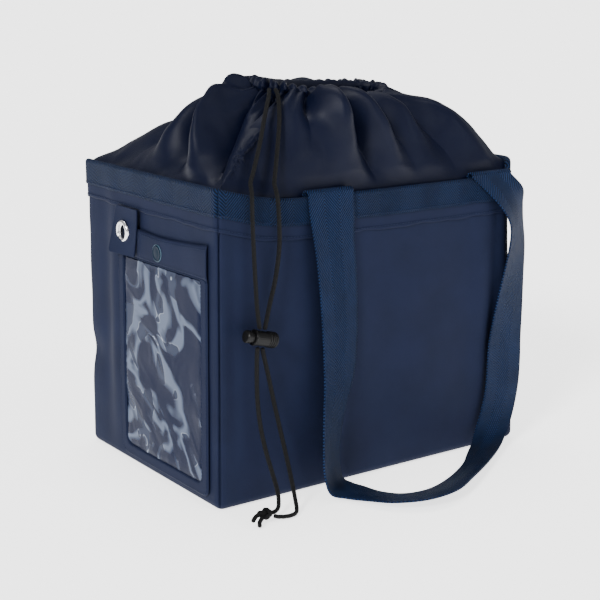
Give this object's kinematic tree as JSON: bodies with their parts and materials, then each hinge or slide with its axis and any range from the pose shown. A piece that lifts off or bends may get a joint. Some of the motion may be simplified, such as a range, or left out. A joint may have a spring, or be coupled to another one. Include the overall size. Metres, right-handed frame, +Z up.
{
  "type": "drawstring tote bag",
  "caption": "Box-shaped navy fabric tote with a gathered drawstring cover, webbing handles, a cord lock and a clear window pocket with a snap.",
  "frame": {"origin": "centre of the flat underside of the bag's bottom panel", "axes": "+Z up; -Y towards the front face with the cord lock; +X along the front from the window-pocket end to the plain end"},
  "size_m": [0.3821, 0.4576, 0.3741],
  "materials": {
    "body_fabric": "plain woven polyester, matt",
    "cover_fabric": "thin tightly woven nylon, soft sheen",
    "webbing": "ribbed herringbone webbing",
    "stiffener": "matt board",
    "clear_vinyl": "soft clear vinyl film, wrinkled and glossy",
    "black_cord": "round braided cord",
    "black_plastic": "moulded, satin",
    "silver_metal": "plated brass, polished",
    "snap_enamel": "enamelled, satin",
    "spring_steel": "plain wire"
  },
  "bodies": {
    "bag": {"bottom_panel": "body_fabric", "base_board": "stiffener", "front_panel": "body_fabric", "rear_panel": "body_fabric", "left_side_panel": "body_fabric", "right_side_panel": "body_fabric", "corner_seam_front_left": "body_fabric", "corner_seam_front_right": "body_fabric", "corner_seam_rear_left": "body_fabric", "corner_seam_rear_right": "body_fabric", "rim_band": "body_fabric", "rim_webbing_front": "webbing", "rim_webbing_rear": "webbing", "rim_webbing_left": "webbing", "rim_webbing_right": "webbing", "handle_anchor_front_left": "webbing", "handle_anchor_front_right": "webbing", "handle_anchor_rear_left": "webbing", "handle_anchor_rear_right": "webbing", "cover_front_left": "cover_fabric", "cover_front_right": "cover_fabric", "cover_rear_left": "cover_fabric", "cover_rear_right": "cover_fabric", "cover_left": "cover_fabric", "cover_right": "cover_fabric", "channel_hem_front": "cover_fabric", "channel_hem_rear": "cover_fabric", "channel_cord": "black_cord", "clear_window": "clear_vinyl", "pocket_frame": "body_fabric", "snap_stud": "snap_enamel", "cord_upper_left": "black_cord", "cord_upper_right": "black_cord", "cord_lower_left": "black_cord", "cord_lower_right": "black_cord", "cord_knot": "black_cord"},
    "front_handle": {"front_handle": "webbing"},
    "rear_handle": {"rear_handle": "webbing"},
    "cord_lock": {"cord_lock": "black_plastic", "lock_spring": "spring_steel"},
    "lock_button": {"lock_button": "black_plastic"},
    "eyelet_tab": {"eyelet_tab": "body_fabric", "eyelet_front": "silver_metal", "eyelet_washer": "silver_metal"},
    "pocket_header": {"pocket_header": "body_fabric", "snap_cap": "snap_enamel"}
  },
  "joints": [
    {"name": "front_handle_swing", "type": "hinge", "parent": "bag", "child": "front_handle", "pos_m": [0.03675, -0.12795, 0.2755], "axis": [-1, 0, 0], "range_deg": [0, 180]},
    {"name": "rear_handle_swing", "type": "hinge", "parent": "bag", "child": "rear_handle", "pos_m": [0.03675, 0.12795, 0.2755], "axis": [1, 0, 0], "range_deg": [0, 180]},
    {"name": "cord_lock_slide", "type": "slide", "parent": "bag", "child": "cord_lock", "axis": [0, 0, 1], "range_m": [-0.085, 0.075], "deforming": ["cord_upper_left", "cord_upper_right", "cord_lower_left", "cord_lower_right"]},
    {"name": "lock_button_press", "type": "slide", "parent": "cord_lock", "child": "lock_button", "axis": [0.9659, 0, -0.2588], "range_m": [0, 0.0035], "stiffness_N_per_m": 900, "springref_m": -0.003, "deforming": ["lock_spring"]},
    {"name": "eyelet_tab_swing", "type": "hinge", "parent": "bag", "child": "eyelet_tab", "pos_m": [-0.1854, 0.0295, 0.2525], "axis": [0, 1, 0], "range_deg": [0, 110]},
    {"name": "pocket_header_open", "type": "hinge", "parent": "bag", "child": "pocket_header", "pos_m": [-0.1813, -0.05175, 0.2088], "axis": [0, -1, 0], "range_deg": [0, 18], "stiffness_Nm_per_rad": 0.02, "springref_deg": -5.73}
  ]
}
